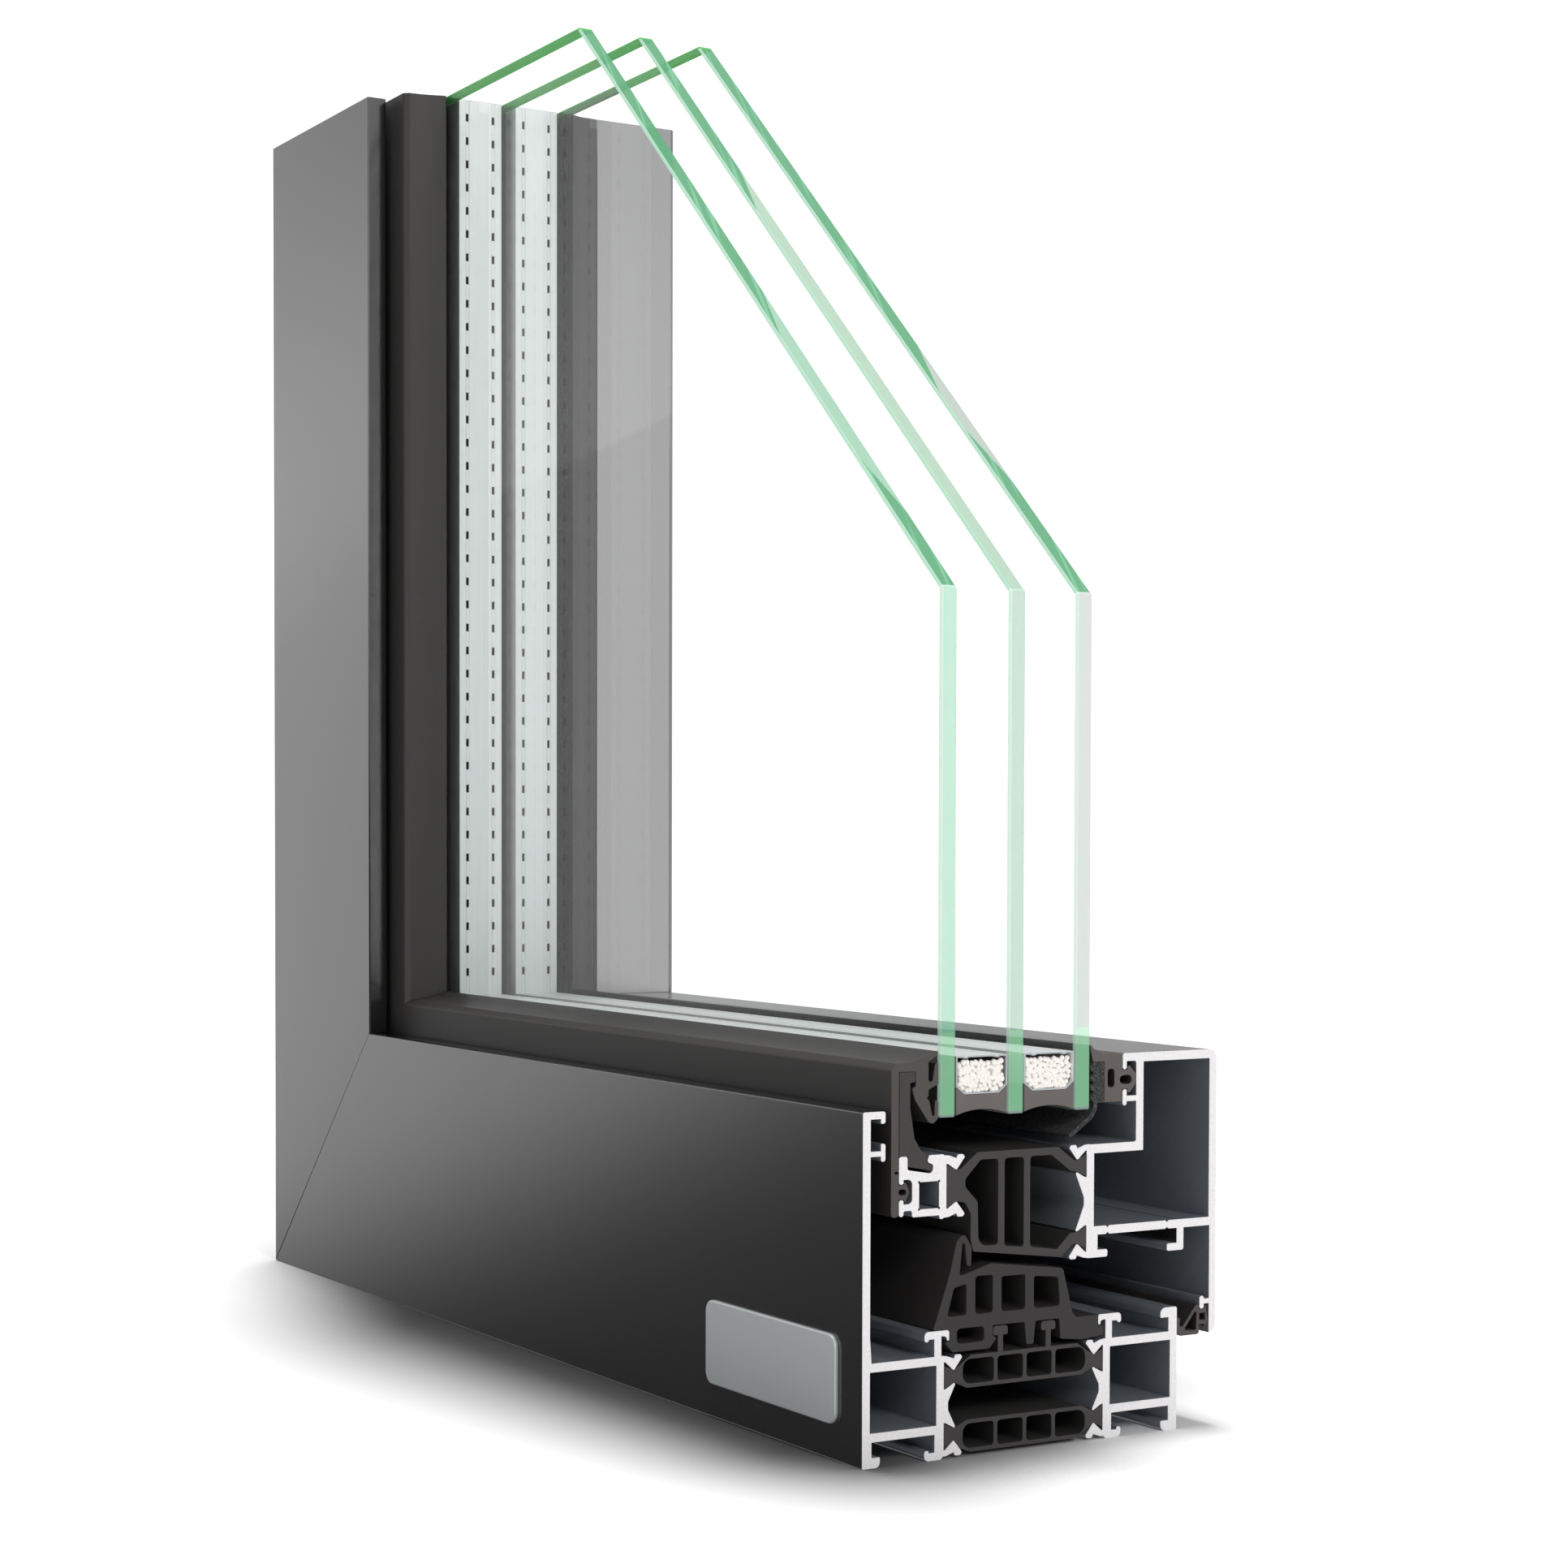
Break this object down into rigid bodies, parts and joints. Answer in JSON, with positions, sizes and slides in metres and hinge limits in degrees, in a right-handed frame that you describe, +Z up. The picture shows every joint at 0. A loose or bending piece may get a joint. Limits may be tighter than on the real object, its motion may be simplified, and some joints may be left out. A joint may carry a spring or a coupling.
{
  "type": "window corner sample",
  "caption": "Corner sample of a thermally broken aluminium window with a mitred frame, concealed sash, insulating bars, gaskets and triple glazing.",
  "frame": {"origin": "below the middle of the whole sample, on the plane that the sill's feet stand on", "axes": "+X along the sill away from the corner, +Y from the weather side to the room, +Z up the jamb"},
  "size_m": [0.306, 0.0848, 0.308],
  "materials": {
    "powder_coated_aluminium": "satin grey powder coat on extruded aluminium, sawn ends bare",
    "insulating_plastic": "matt glass-filled plastic",
    "gasket_rubber": "matt extruded rubber",
    "foam_rubber": "closed-cell foam",
    "clear_glass": "clear float glass",
    "spacer_metal": "satin rolled",
    "desiccant_beads": "packed beads",
    "edge_sealant": "matt sealant",
    "cleat_aluminium": "mill finish"
  },
  "bodies": {
    "root": {"frame_outer_shell_sill": "powder_coated_aluminium", "frame_outer_shell_jamb": "powder_coated_aluminium", "frame_inner_shell_sill": "powder_coated_aluminium", "frame_inner_shell_jamb": "powder_coated_aluminium", "frame_lower_bar_sill": "insulating_plastic", "frame_lower_bar_jamb": "insulating_plastic", "frame_upper_bar_sill": "insulating_plastic", "frame_upper_bar_jamb": "insulating_plastic", "centre_gasket_sill": "gasket_rubber", "centre_gasket_jamb": "gasket_rubber", "sash_outer_shell_sill": "powder_coated_aluminium", "sash_outer_shell_jamb": "powder_coated_aluminium", "sash_inner_shell_sill": "powder_coated_aluminium", "sash_inner_shell_jamb": "powder_coated_aluminium", "sash_insulator_sill": "insulating_plastic", "sash_insulator_jamb": "insulating_plastic", "stop_gasket_sill": "gasket_rubber", "stop_gasket_jamb": "gasket_rubber", "glazing_bead_sill": "insulating_plastic", "glazing_bead_jamb": "insulating_plastic", "outer_glazing_gasket_sill": "gasket_rubber", "outer_glazing_gasket_jamb": "gasket_rubber", "inner_glazing_gasket_sill": "gasket_rubber", "inner_glazing_gasket_jamb": "gasket_rubber", "glazing_foam_sill": "foam_rubber", "glazing_foam_jamb": "foam_rubber", "outer_pane": "clear_glass", "middle_pane": "clear_glass", "inner_pane": "clear_glass", "outer_spacer": "spacer_metal", "outer_desiccant": "desiccant_beads", "outer_edge_sealant": "edge_sealant", "inner_spacer": "spacer_metal", "inner_desiccant": "desiccant_beads", "inner_edge_sealant": "edge_sealant", "frame_outer_cleat": "cleat_aluminium", "frame_inner_cleat": "cleat_aluminium", "sash_cleat": "cleat_aluminium"}
  },
  "joints": []
}
